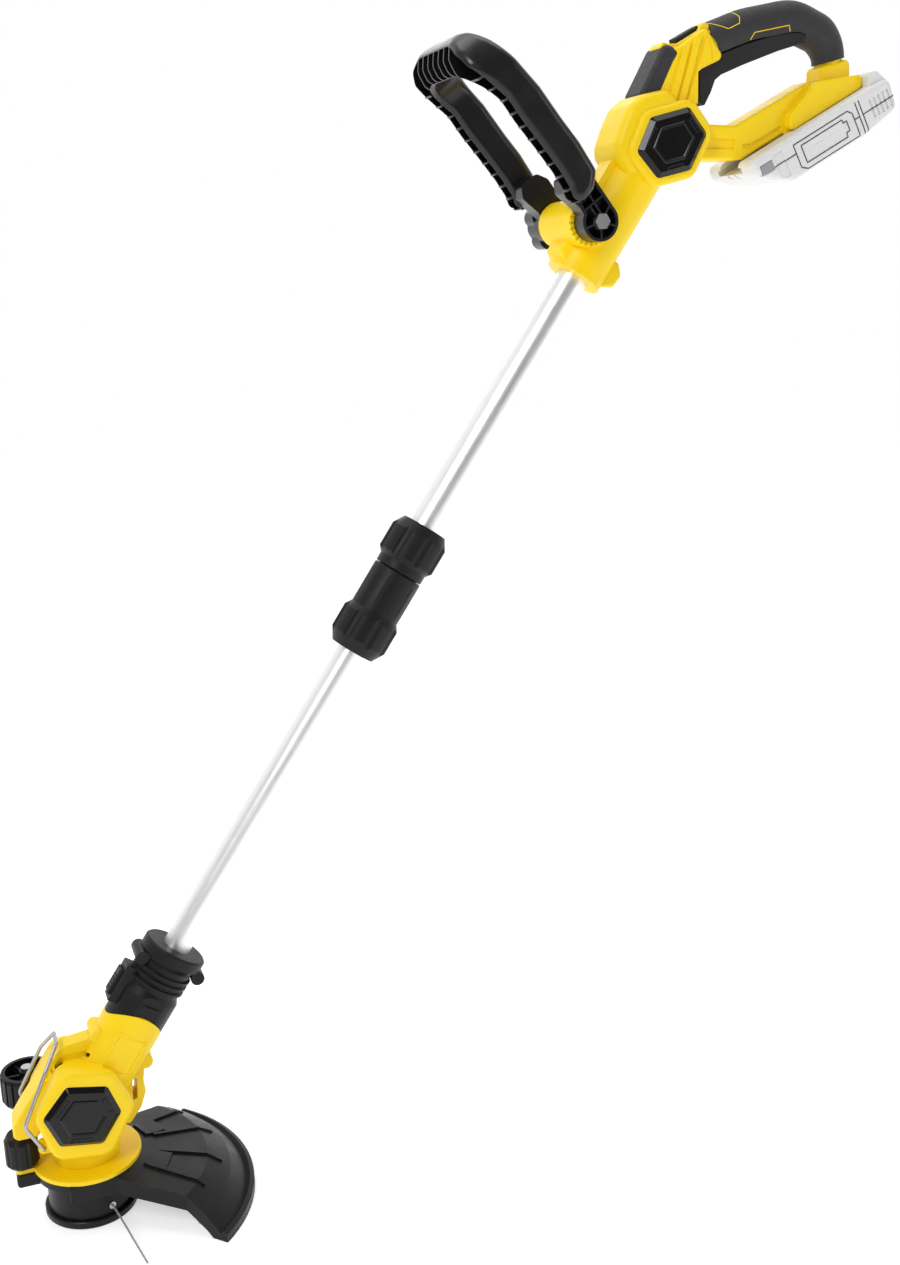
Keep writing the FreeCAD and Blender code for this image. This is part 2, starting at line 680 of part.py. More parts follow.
def line_eyelets():
    """Two metal eyelets in the spool housing; the line leaves through one of them."""
    wall = upright(SPOOL_WALL + 0.9, (0, 0), (5, 30)).cut(upright(SPOOL_WALL - 2.6, (0, 0), (4, 31)))
    sleeve = line_window(3.2).cut(line_window(LINE_RADIUS + 0.15))
    return Part.makeCompound(around(sleeve.common(wall), 2))


def spool_cap():
    """Flanged bottom cover of the spool with its two snap legs."""
    body = turned([(14.4, 0), (SPOOL_LIP - 1.2, 0), (SPOOL_LIP, 1.2), (SPOOL_LIP, LIP_TOP - 1),
                   (SPOOL_LIP - 1, LIP_TOP),
                   (SPOOL_WALL - 3, LIP_TOP), (SPOOL_WALL - 3, 3.4), (16.8, 3.4), (16.8, 8.0), (14.4, 8.0)])
    legs = around(box((31.2, 33.6), (-5, 5), (3, 22)), 2)
    return join([body] + legs)


def feed_knob():
    """Bump knob in the middle of the spool cap; tapping it lets out line."""
    body = turned([(0, 0), (12.6, 0), (14.0, 1.4), (14.0, 9.4), (12.8, 9.4), (12.8, 12.6), (4.0, 12.6),
                   (4.0, 6.0), (0, 6.0)])
    return body


def line_reel():
    return turned([(9.0, 12.6), (29.8, 12.6), (29.8, 14.4), (15.0, 14.4), (15.0, 26.2), (29.8, 26.2),
                   (29.8, 28.0), (9.0, 28.0)])


def wound_line():
    """The line on the reel, as one body with the wavy outside of its turns."""
    count = 6
    step = (26.0 - 14.6) / count
    profile = [(15.0, 14.6)]
    for i in range(count):
        low = 14.6 + i * step
        profile += [(25.2, low + 0.1), (26.0, low + step / 2), (25.2, low + step - 0.1)]
    return turned(profile + [(15.0, 26.0)])


def feed_spring():
    return spring(11.8, 0.6, (0, 0), (28.0, 36.3), 3)


def cutting_line():
    """The free end of the nylon line: straight runs joined by arcs as large as they allow."""
    points = [V(*p) for p in LINE_ROUTE]
    radii = []
    for before, corner, after in zip(points, points[1:], points[2:]):
        shorter = min((before - corner).Length, (after - corner).Length)
        turn = math.pi - (before - corner).getAngle(after - corner)
        radii.append(0.45 * shorter / math.tan(turn / 2))
    print("cutting line radii", [round(r, 1) for r in radii])
    path = route(LINE_ROUTE, radii)
    tube = piped(LINE_ROUTE, radii, LINE_RADIUS)
    print("cutting line length", round(path.Length, 2), "volume over section times length",
          round(tube.Volume / (math.pi * LINE_RADIUS ** 2 * path.Length), 4))
    return tube


# ------------------------------------------------------------------ handle

PIVOT = shaft_point(PIVOT_S, PIVOT_H)
HANDLE_BADGE = [(532, 899), (545, 927), (582, 936), (600, 914), (584, 884), (552, 877)]
BADGE_CENTRE = (565.8, 906.2)
HOUSING = [(516, 897), (516, 906.5), (522, 922), (530, 938), (541.5, 946.5), (566, 951.5), (590, 930),
           (560, 880), (527, 880)]
WEB = [(523, 921), (531, 937), (542, 945), (566, 985.5), (580, 986.5), (606, 1003), (625, 978), (599, 967),
       (598, 920), (590, 900), (530, 900)]
GRIP_ROUTE = [(607, 0, 988), (650, 0, 1003.4), (700, 0, 1013), (731, 0, 1001), (741, 0, 985), (740, 0, 955)]
GRIP_BENDS = [80, 40, 22, 26]
GRIP_SIZES = [(0.0, 17.3), (0.55, 17.6), (0.72, 17.0), (0.85, 14.6), (1.0, 14.4)]
BRACE = [(590, 924), (638, 922.5), (712, 960), (762, 966), (762, 954.6), (657, 900), (645, 893.6), (590, 893)]
FOOT = [(688, 931), (714, 959), (762, 966), (762, 954.6), battery_point(44, 0)]
RISER = [(726, 950), (726, 973), (756, 981), (757, 960), (750, 955)]
TRIGGER = [(601, 942), (606.5, 938.5), (613, 950), (617, 960), (623, 964.5), (645, 973), (680, 985),
           (700, 990.5), (707, 992), (707, 1000), (698, 1001), (679, 999), (646, 990), (621, 981),
           (601, 970)]
SKIRT = [(612, 962), (606, 980), (622, 993), (646, 1001), (679, 1003), (690, 999), (679, 985), (640, 972)]
BEZEL_SIDE = [(563, 985), (567.5, 990.5), (573, 989), (581, 989.5), (601, 1000.5), (605, 1007), (612, 1005.5),
              (611.5, 998.5), (588, 985.5), (568, 983.5)]
NOSE = [(541, 945), (566, 989), (583, 983.5), (575, 971), (562, 945), (550, 938)]
HANDLE_SCREWS = [((479, 815), 13.5), ((517, 797), 11.5), ((622, 907), 13.5),
                 ((745, 957), 22.0), ((583, 972), 15.5)]


def scaled(points, centre, share):
    return [(centre[0] + (p[0] - centre[0]) * share, centre[1] + (p[1] - centre[1]) * share) for p in points]


def handle_drum(inset):
    rim = scaled(HANDLE_BADGE, BADGE_CENTRE, 1.27)
    return soft_prism(rim, 30.0, 15, 5, inset)


def grip_bar(inset):
    """The rear grip: round sections along its route, slimmer down the rear limb."""
    path = route(GRIP_ROUTE, GRIP_BENDS)
    count = 22
    spots = path.discretize(Number=count)
    rings = []
    for i, spot in enumerate(spots):
        share = i / (count - 1)
        (start, low), (end, high) = [(a, b) for a, b in zip(GRIP_SIZES, GRIP_SIZES[1:]) if share <= b[0]][0]
        size = low + (high - low) * (share - start) / (end - start)
        before, after = spots[max(i - 1, 0)], spots[min(i + 1, count - 1)]
        rings.append(Part.Wire(Part.makeCircle(size - inset, spot, after - before)))
    return Part.makeLoft(rings, True, False)


def handle_form(inset):
    """The handle's outside when inset is 0, and the room inside it otherwise."""
    low = PIVOT_S + 18 if inset else 850.0
    barrel = on_shaft(rod(25.0 - inset, (0, 0, low), (0, 0, 975)))
    grip = grip_bar(RUBBER + inset)
    parts = [barrel, handle_drum(inset), grip,
             soft_prism(WEB, WEB_HALF, 5, 4, inset), soft_prism(BRACE, BRACE_HALF, 5, 3, inset),
             soft_prism(FOOT, FOOT_HALF, 5, 2, inset), soft_prism(RISER, RISER_HALF, 5, 3, inset),
             soft_prism(HOUSING, HOUSING_HALF, 12, 8, inset)]
    if not inset:
        saddle = crosswise(20.0, PIVOT, (-SADDLE_HALF, SADDLE_HALF))
        parts.append(soften(saddle, 1.0, on_side(SADDLE_HALF)))
        spine = on_shaft(box((-29, -18), (-11, 11), (PIVOT_S, 955)))
        parts.append(spine)
        parts += nose_bosses()
        parts += web_ribs()
    return join(parts)


def nose_bosses():
    """Chunky bosses above and below the mouth that the outer tube enters."""
    upper = soft_prism([(466, 820), (473, 804), (486, 800), (496, 826), (480, 838)], 15, 4, 2.5)
    lower = soft_prism([(503, 788), (518, 787), (526, 796), (524, 808), (512, 812)], 13, 4, 2.5)
    return [upper, lower]


def web_ribs():
    """Raised facets that fan from the drum up to the grip, on both flanks."""
    near = [prism(points, (-WEB_HALF - 1.8, -WEB_HALF + 2), 1)
            for points in ([(566, 935), (574, 936), (590, 990), (584, 988)],
                           [(577, 936), (583, 937), (601, 997), (594, 994)],
                           [(586, 938), (597, 940), (597, 966), (611, 975), (606, 996)])]
    return near + [mirrored(rib) for rib in near]


def saddle_teeth():
    """Radial notches in the saddle's two end faces, which the loop handle's teeth index in."""
    count = 24
    notch = box((13.5, 21), (-0.7, 0.7), (SADDLE_HALF - 1.2, SADDLE_HALF + 1))
    ring = join(around(notch, count))
    ring.rotate(V(0, 0, 0), V(1, 0, 0), 90)
    ring.translate(V(PIVOT[0], 0, PIVOT[1]))
    return join([ring, mirrored(ring)])


def turned_trigger(angle, half, grow, points=TRIGGER):
    face = outline(points, 1.5)
    if grow:
        face = face.makeOffset2D(grow)
    face.translate(V(0, -half, 0))
    solid = face.extrude(V(0, 2 * half, 0))
    solid.rotate(V(TRIGGER_PIVOT[0], 0, TRIGGER_PIVOT[1]), V(0, 1, 0), angle)
    return solid


def trigger_room():
    """Everything the trigger sweeps through, with room to spare."""
    steps = 4
    turns = [TRIGGER_TRAVEL * i / (steps - 1) * 1.1 for i in range(steps)]
    lever = [turned_trigger(turn, TRIGGER_HALF + 0.5, 0.5) for turn in turns]
    skirt = [turned_trigger(turn, SKIRT_HALF + 0.5, 0.5, SKIRT) for turn in turns]
    return join(lever + skirt)


def brace_groove():
    """Sunk grooves along both flanks of the lower brace."""
    side = (-BRACE_HALF - 1, -BRACE_HALF + 1.6)
    strap = prism([(606, 911), (637, 911), (637, 902.5), (606, 902.5)], side, 1)
    bend = prism([(645, 903), (655, 903), (684, 919), (684, 923), (653, 907), (645, 907)], side, 1)
    near = strap.fuse(bend)
    return near.fuse(mirrored(near))


def rail():
    """T-shaped rail under the foot that the battery slides onto."""
    return battery_bar((44, 118), (-15, 15), (-5, 3)).fuse(battery_bar((44, 118), (-19, 19), (-9, -5)))


def lock_slot():
    """Opening in the top of the web for the lock-off slider."""
    return slide_block((-14.4, 15.4), 7.0, (-7, 14))


def slide_block(along, half, height):
    """A bar at the lock-off slider's place: along its travel, and square to the web's top."""
    block = box(along, (-half, half), height)
    block.rotate(V(0, 0, 0), V(0, 1, 0), -SLIDER_SLOPE)
    block.translate(V(SLIDER_SPOT[0], 0, SLIDER_SPOT[1]))
    return block


def handle_body():
    outer = handle_form(0)
    posts = [crosswise(4.0, spot, (-half, half)) for spot, half in HANDLE_SCREWS]
    shell = outer.cut(handle_form(SKIN)).fuse(outer.common(join(posts))).fuse(rail())
    cuts = [on_shaft(rod(OUTER_TUBE, (0, 0, 840), (0, 0, OUTER_TUBE_SPAN[1]))),
            on_shaft(rod(OUTER_TUBE - 2, (0, 0, 840), (0, 0, PIVOT_S + 30))),
            crosswise(PIVOT_BOLT + 0.08, PIVOT, (-40, 40)),
            saddle_teeth(), trigger_room(), brace_groove(), lock_slot(),
            nose_rubber_whole(), bezel_whole(), terminal_block()]
    cuts += [screw_room(spot, half - 1.5, half + 8, -8) for spot, half in HANDLE_SCREWS]
    return shell.cut(join(cuts))


def nose_rubber_whole():
    """Soft strip that wraps the front of the web."""
    outer = soft_prism(NOSE, WEB_HALF + 0.4, 7, 5)
    core = prism(NOSE, (-WEB_HALF + RUBBER + 2, WEB_HALF - RUBBER - 2), 3)
    core.translate(V(3.2, 0, -1.6))
    return outer.cut(core).cut(prism(BEZEL_SIDE, (-12, 12), 1))


def bezel_whole():
    body = soft_prism(BEZEL_SIDE, 11.0, 2, 1.5)
    return body.cut(lock_slot())


def grip_rubber_whole():
    """Soft overmould round the rear grip, between two slanting ends."""
    sleeve = grip_bar(0).cut(grip_bar(RUBBER))
    keep = prism([(606.5, 1003), (606.5, 1050), (800, 1050), (800, 995), (758, 983), (723, 974), (690, 940),
                  (640, 940), (626, 977)], (-40, 40), 0.2)
    cuts = [trigger_room(), prism(BEZEL_SIDE, (-20, 20), 1), prism(WEB, (-40, 40), 5),
            prism(RISER, (-40, 40), 4)]
    return sleeve.common(keep).cut(join(cuts))


def trigger():
    """Trigger lever, with a narrow skirt above it that closes the slot it moves in."""
    lever = soften(turned_trigger(0, TRIGGER_HALF, 0), 1.0, on_side(TRIGGER_HALF))
    skirt = turned_trigger(0, SKIRT_HALF, 0, SKIRT).cut(upright(4.8, (646, 0), (991.5, 1010)))
    return lever.fuse(skirt).cut(crosswise(2.05, TRIGGER_PIVOT, (-20, 20)))


def trigger_pin():
    return crosswise(2.0, TRIGGER_PIVOT, (-TRIGGER_HALF + 0.3, TRIGGER_HALF - 0.3))


def trigger_spring():
    return spring(3.6, 0.5, (646, 0), (991.9, 1001.5), 4)


def lock_slider():
    """Lock-off slider with finger ridges, in the bezel on top of the web."""
    body = slide_block((-8.6, 15.0), 6.6, (-4, 5.4))
    body = soften(body, 2.0, lambda e: e.Length > 20 and e.BoundBox.ZMax > SLIDER_SPOT[1] + 8)
    ridges = [slide_block((3.0 * i - 4, 3.0 * i - 2.8), 5.0, (4.6, 7)) for i in range(5)]
    return body.cut(join(ridges))


def switch_module():
    block = box((562, 590), (-8, 8), (926, 952))
    plunger = rod(2.5, (590, 0, 944), (593, 0, 944))
    terminals = [box((566 + 8 * i, 567 + 8 * i), (-3, 3), (920, 926)) for i in range(3)]
    return join([block, plunger] + terminals)


def battery_bar(u, y, v):
    solid = box(u, y, v)
    solid.rotate(V(0, 0, 0), V(0, 1, 0), -BATTERY_SLOPE)
    solid.translate(V(BATTERY_CORNER[0], 0, BATTERY_CORNER[1]))
    return solid


def terminal_block():
    """Contact block in the foot with two blades that reach down into the battery."""
    block = battery_bar((70, 96), (-12, 12), (4, 11))
    blades = [battery_bar((74, 92), (y - 0.5, y + 0.5), (-14, 4)) for y in (-6, 6)]
    return join([block] + blades)


def battery_outline(points):
    return [battery_point(*p) for p in points]


def battery_form(inset):
    side = battery_outline([(-11, -0.4), (-11, -12), (4, -25), (24, -36), (104, -36), (146, -30),
                            (149, -2), (127, -0.4)])
    body = soft_prism(side, BATTERY_HALF, 7, 5, inset)
    back = [(763, 935), (763, 966.5), (771, 968), (786, 957), battery_point(148.5, -10), (775, 930)]
    hump = soft_prism(back, BATTERY_HALF - 6, 7, 2.5, inset)
    return join([body, hump])


def battery_channel():
    """Slot that the handle's rail runs in, and the two slots for its contact blades."""
    parts = [battery_bar((-20, 124), (-15.4, 15.4), (-6, 3)),
             battery_bar((-20, 124), (-19.5, 19.5), (-9.5, -4.6))]
    parts += [battery_bar((-20, 96), (y - 1.4, y + 1.4), (-15.5, -8)) for y in (-6, 6)]
    return join(parts)


def battery_case(low, high):
    """The part of the battery's case between two levels, hollow for the cells."""
    whole = battery_form(0).cut(battery_channel())
    room = battery_bar((25, 140), (-34, 34), (-33, -17.5))
    flanks = [(s * BATTERY_HALF - 1.3, s * BATTERY_HALF + 1.3) for s in (-1, 1)]
    side_pads = [battery_bar((12, 22), y, (-30, -6)) for y in flanks]
    vents = [battery_bar((120 + 5 * i, 122 + 5 * i), y, (-26, -10)) for i in range(5) for y in flanks]
    button_holes = [battery_bar((-4, 9.4), (s * 32.5 - 8, s * 32.5 + 8), (-17.4, -8.6)) for s in (-1, 1)]
    slab = battery_bar((-30, 170), (-60, 60), (low, high))
    return whole.common(slab).cut(join([room] + vents + button_holes + [join(side_pads)]))


def battery_top():
    return battery_case(-18.0, 40.0).cut(join(battery_contacts().Solids))


def battery_base():
    return battery_case(-60.0, -18.0)


def battery_cells():
    """Five round cells side by side across the pack."""
    cells = []
    for i in range(5):
        u = 36 + 19.6 * i
        x, z = battery_point(u, -25.2)
        cells.append(crosswise(7.6, (x, z), (-32.5, 32.5)))
    return Part.makeCompound(cells)


def battery_contacts():
    middles = [y + s * 2.2 for y in (-6, 6) for s in (-1, 1)]
    clips = [battery_bar((60, 96), (y - 0.5, y + 0.5), (-16.5, -11.5)) for y in middles]
    return Part.makeCompound(clips)


def battery_latch(side):
    """One of the two release buttons in the battery's flanks."""
    inner, outer = 28.6, BATTERY_HALF + 0.6
    y = (inner, outer) if side > 0 else (-outer, -inner)
    body = battery_bar((-3.6, 9.0), y, (-17.0, -9.0))
    return body


# ------------------------------------------------------------------ loop handle

# Its own frame: x square to the arms and back, z along them, from the pivot.
LOOP_LEAN = 35.93
ARM_INSIDE = 51.0
ARM_OUTSIDE = 71.0
LOOP_FOOT = 18.0
LOOP_TOP = 187.5
CROSSBAR_THICK = 27.0
LOOP_WALL = 2.6
RIB_PITCH = 12.5
EAR_SPAN = (34.0, 52.0)
LOOP_SIDE = [(464.5, 855.5), (474, 867), (476.5, 882), (461, 904.5), (446, 922), (427, 946), (406, 967),
             (389, 981), (378, 988.5), (368, 989), (361, 980), (360, 968), (366, 957), (382, 946), (396, 935),
             (408, 919), (426, 898), (440, 881), (449, 868), (453, 857)]
LOOP_BACK = LOOP_SIDE[1:11]


def on_loop(shape):
    """Move a shape from the loop handle's own frame to its place."""
    moved = shape.copy()
    moved.rotate(V(0, 0, 0), V(0, 1, 0), -LOOP_LEAN)
    moved.translate(V(PIVOT[0], 0, PIVOT[1]))
    return moved


def loop_u(half, low, top, corner, foot):
    """A tall block with rounded upper corners, as seen along the loop's x."""
    block = box((-60, 60), (-half, half), (low, top))
    along_x = lambda edge, z: (all(abs(v.Z - z) < 0.01 for v in edge.Vertexes)
                               and abs(edge.Vertexes[0].Y - edge.Vertexes[-1].Y) < 0.01)
    block = soften(block, corner, lambda edge: along_x(edge, top))
    return soften(block, foot, lambda edge: along_x(edge, low))


def loop_frame(wall):
    """The U of the loop, its walls shrunk by the given amount from every side."""
    outer = loop_u(ARM_OUTSIDE - wall, LOOP_FOOT + wall, LOOP_TOP - wall, 42 - wall, 8)
    inner = loop_u(ARM_INSIDE + wall, -40, LOOP_TOP - CROSSBAR_THICK + wall, 27 + wall, 1)
    return on_loop(outer.cut(inner))


def loop_ribs():
    """Thin ribs that cross the pockets of both arms and of the crossbar."""
    ribs = []
    for i in range(11):
        low = LOOP_FOOT + 10 + RIB_PITCH * i
        for y in ((-80, -ARM_INSIDE + 3), (ARM_INSIDE - 3, 80)):
            ribs.append(on_loop(box((-60, 60), y, (low, low + 1.8))))
    for i in range(7):
        y = RIB_PITCH * (i - 3)
        height = (LOOP_TOP - CROSSBAR_THICK - 2, LOOP_TOP + 2)
        ribs.append(on_loop(box((-60, 60), (y - 0.9, y + 0.9), height)))
    return ribs


def loop_point(n, a):
    """The (x, z) of a point given square to and along the loop's arms."""
    lean = math.radians(LOOP_LEAN)
    x = PIVOT[0] + n * math.cos(lean) - a * math.sin(lean)
    z = PIVOT[1] + n * math.sin(lean) + a * math.cos(lean)
    return (x, z)


EAR_RADIUS = 16.5


def ear(side):
    """Ear of the loop handle that turns on the pivot bolt."""
    y = EAR_SPAN if side > 0 else (-EAR_SPAN[1], -EAR_SPAN[0])
    plate = [(-10, -2), (EAR_RADIUS, -6), (15.5, 38), (9, 48), (-9, 48), (-14, 38), (-9, 20)]
    body = crosswise(EAR_RADIUS, PIVOT, y).fuse(prism([loop_point(n, a) for n, a in plate], y, 5))
    return body.removeSplitter()


def ear_pocket(side):
    """Hollow of an ear, with ribs left standing round the bolt boss."""
    depth = (38.0, EAR_SPAN[1] + 1)
    y = depth if side > 0 else (-depth[1], -depth[0])
    plate = [(-8, -1), (14, -4), (13, 30), (-4, 30), (-6, 20)]
    room = crosswise(EAR_RADIUS - 2.5, PIVOT, y).fuse(prism([loop_point(n, a) for n, a in plate], y, 2))
    ribs = [crosswise(7.0, PIVOT, y)]
    for angle in range(15, 360, 72):
        rib = box((6, 17), y, (-0.8, 0.8))
        rib.rotate(V(0, 0, 0), V(0, 1, 0), angle)
        rib.translate(V(PIVOT[0], 0, PIVOT[1]))
        ribs.append(rib)
    for corners in ([(-20, 15.2), (20, 15.2), (20, 16.8), (-20, 16.8)],
                    [(3.2, 5), (4.8, 5), (4.8, 40), (3.2, 40)]):
        ribs.append(prism([loop_point(n, a) for n, a in corners], y, 0.2))
    return room.cut(join(ribs))


def near_line(spot, points, reach):
    """Whether a point lies within reach of a broken line."""
    for start, end in zip(points, points[1:]):
        along = (end[0] - start[0], end[1] - start[1])
        share = (spot[0] - start[0]) * along[0] + (spot[1] - start[1]) * along[1]
        share /= along[0] ** 2 + along[1] ** 2
        share = min(1.0, max(0.0, share))
        gap = math.hypot(start[0] + share * along[0] - spot[0], start[1] + share * along[1] - spot[1])
        if gap < reach:
            return True
    return False


def on_loop_back(edge):
    middle = edge.valueAt(0.5 * (edge.FirstParameter + edge.LastParameter))
    return edge.Length > 1 and near_line((middle.x, middle.z), LOOP_BACK, 3.0)


def loop_handle():
    side = outline(LOOP_SIDE, 9)
    side.translate(V(0, -80, 0))
    slab = side.extrude(V(0, 160, 0))
    frame = loop_frame(0).common(slab)
    frame = soften(frame, 8.0, on_loop_back)
    back_skin = 5.0
    sunk = slab.copy()
    lean = math.radians(LOOP_LEAN)
    sunk.translate(V(-math.cos(lean) * back_skin, 0, -math.sin(lean) * back_skin))
    hollow = loop_frame(LOOP_WALL).common(sunk)
    body = join([frame.cut(hollow.cut(join(loop_ribs()))), ear(-1), ear(1)])
    cuts = [ear_pocket(-1), ear_pocket(1), crosswise(PIVOT_BOLT, PIVOT, (-60, 60)),
            crosswise(KNOB_REACH + 0.8, PIVOT, (EAR_SPAN[1] - 1.4, 90))]
    return body.cut(join(cuts))


KNOB_REACH = 20.5
KNOB_SPAN = (50.9, 71.0)


def pivot_bolt():
    """Long bolt through the saddle, with its hex head against the near ear."""
    shank = crosswise(PIVOT_BOLT, PIVOT, (-52.0, KNOB_SPAN[1] - 4.0))
    turns = [math.radians(60 * i) for i in range(6)]
    corners = [(PIVOT[0] + 7.0 * math.cos(turn), PIVOT[1] + 7.0 * math.sin(turn)) for turn in turns]
    return shank.fuse(prism(corners, (-56.0, -52.0), 0.3))


def loop_knob():
    """Three-lobed clamping knob on the far end of the pivot bolt."""
    lobes = []
    for i in range(3):
        angle = math.radians(120 * i + 20)
        spot = (PIVOT[0] + 12 * math.cos(angle), PIVOT[1] + 12 * math.sin(angle))
        lobe = crosswise(KNOB_REACH - 12, spot, KNOB_SPAN)
        lobes.append(soften(lobe, 2.0, lambda e: all(abs(v.Y - KNOB_SPAN[1]) < 0.01 for v in e.Vertexes)))
    body = join([crosswise(14.0, PIVOT, KNOB_SPAN)] + lobes)
    return body.cut(crosswise(PIVOT_BOLT + 0.06, PIVOT, (40, KNOB_SPAN[1] - 3.8)))


# ------------------------------------------------------------------ all nodes

HANDLE = handle_body()

NODES = {
    "outer_tube": outer_tube(),
    "clamp_sleeve": clamp_sleeve(),
    "clamp_nut": clamp_nut(),
    "clamp_collet": collet(),
    "inner_tube": inner_tube(),
    "slide_bush": slide_bush(),
    "index_sleeve": index_sleeve(),
    "collar_shell_near": collar_shell(near_half),
    "collar_shell_far": collar_shell(far_half),
    "collar_screws": collar_screws(),
    "head_release_button": head_release(),
    "head_shell_near": head_shell(near_half),
    "head_shell_far": head_shell(far_half),
    "head_screws": head_screws(),
    "head_badges": pair(badge(HEAD_BADGE, -HEAD_HALF, 3.6, 4.2)),
    "motor_can": motor_can(),
    "motor_end_cap": motor_end_cap(),
    "motor_bush": motor_bush(),
    "motor_plate": motor_plate(),
    "base_flange": flange(),
    "roller_axle": roller_axle(),
    "front_roller": front_roller(),
    "wheel_axle": wheel_axle(),
    "edge_wheel": edge_wheel(),
    "wire_bail": wire_bail(),
    "guard": guard(),
    "guard_screws": guard_screws(),
    "line_cutter": line_cutter(),
    "motor_shaft": motor_shaft(),
    "drive_hub": drive_hub(),
    "spool_housing": spool_housing(),
    "line_eyelets": line_eyelets(),
    "spool_cap": spool_cap(),
    "feed_knob": feed_knob(),
    "line_reel": line_reel(),
    "wound_line": wound_line(),
    "feed_spring": feed_spring(),
    "cutting_line": cutting_line(),
    "handle_shell_near": largest(near_half(HANDLE)),
    "handle_shell_far": largest(far_half(HANDLE)),
    "nose_rubber": nose_rubber_whole(),
    "slider_bezel": bezel_whole(),
    "grip_rubber": grip_rubber_whole(),
    "handle_screws": Part.makeCompound([screw(spot, half - 1.5, -8) for spot, half in HANDLE_SCREWS]),
    "handle_badges": pair(badge(HANDLE_BADGE, -30.0, 3.8, 4.4)),
    "trigger": trigger(),
    "trigger_pin": trigger_pin(),
    "trigger_spring": trigger_spring(),
    "lock_slider": lock_slider(),
    "switch_module": switch_module(),
    "terminal_block": terminal_block(),
    "battery_top": battery_top(),
    "battery_base": battery_base(),
    "battery_cells": battery_cells(),
    "battery_contacts": battery_contacts(),
    "battery_latch_near": battery_latch(-1),
    "battery_latch_far": battery_latch(1),
    "loop_handle": loop_handle(),
    "pivot_bolt": pivot_bolt(),
    "loop_knob": loop_knob(),
}

os.makedirs("parts", exist_ok=True)
for name, shape in NODES.items():
    shape.exportStep("parts/" + name + ".step")
    print(name, "solids", len(shape.Solids), "valid", shape.isValid(), "volume", round(shape.Volume))
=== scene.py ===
import json
import math

import bmesh
import bpy
from mathutils import Matrix, Vector
from mathutils.bvhtree import BVHTree


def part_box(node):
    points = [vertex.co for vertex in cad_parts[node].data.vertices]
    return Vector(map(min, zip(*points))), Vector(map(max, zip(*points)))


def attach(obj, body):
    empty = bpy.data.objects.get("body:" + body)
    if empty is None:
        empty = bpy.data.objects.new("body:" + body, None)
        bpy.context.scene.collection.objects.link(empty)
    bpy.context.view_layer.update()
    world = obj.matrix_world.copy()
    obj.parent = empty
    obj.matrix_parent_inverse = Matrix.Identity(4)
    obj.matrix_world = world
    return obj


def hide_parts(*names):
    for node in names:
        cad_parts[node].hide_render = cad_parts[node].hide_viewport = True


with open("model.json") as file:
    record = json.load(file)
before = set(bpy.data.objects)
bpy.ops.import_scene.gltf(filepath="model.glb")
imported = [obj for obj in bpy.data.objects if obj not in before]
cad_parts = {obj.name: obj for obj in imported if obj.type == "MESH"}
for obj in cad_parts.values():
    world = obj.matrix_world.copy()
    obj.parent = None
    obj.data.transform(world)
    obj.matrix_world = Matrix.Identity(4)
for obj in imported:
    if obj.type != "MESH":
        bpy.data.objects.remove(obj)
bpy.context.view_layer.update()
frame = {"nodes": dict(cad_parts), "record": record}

# Telescopic cordless string trimmer: materials, moulded details, light and camera.
# Metres throughout, in the CAD frame: +Z up, +X towards the user, near side -Y.

NODES = frame["nodes"]
MM = 0.001

SHAFT_LEAN = math.radians(34.8)
NEAR, FAR = -1, 1


# ------------------------------------------------------------------ materials

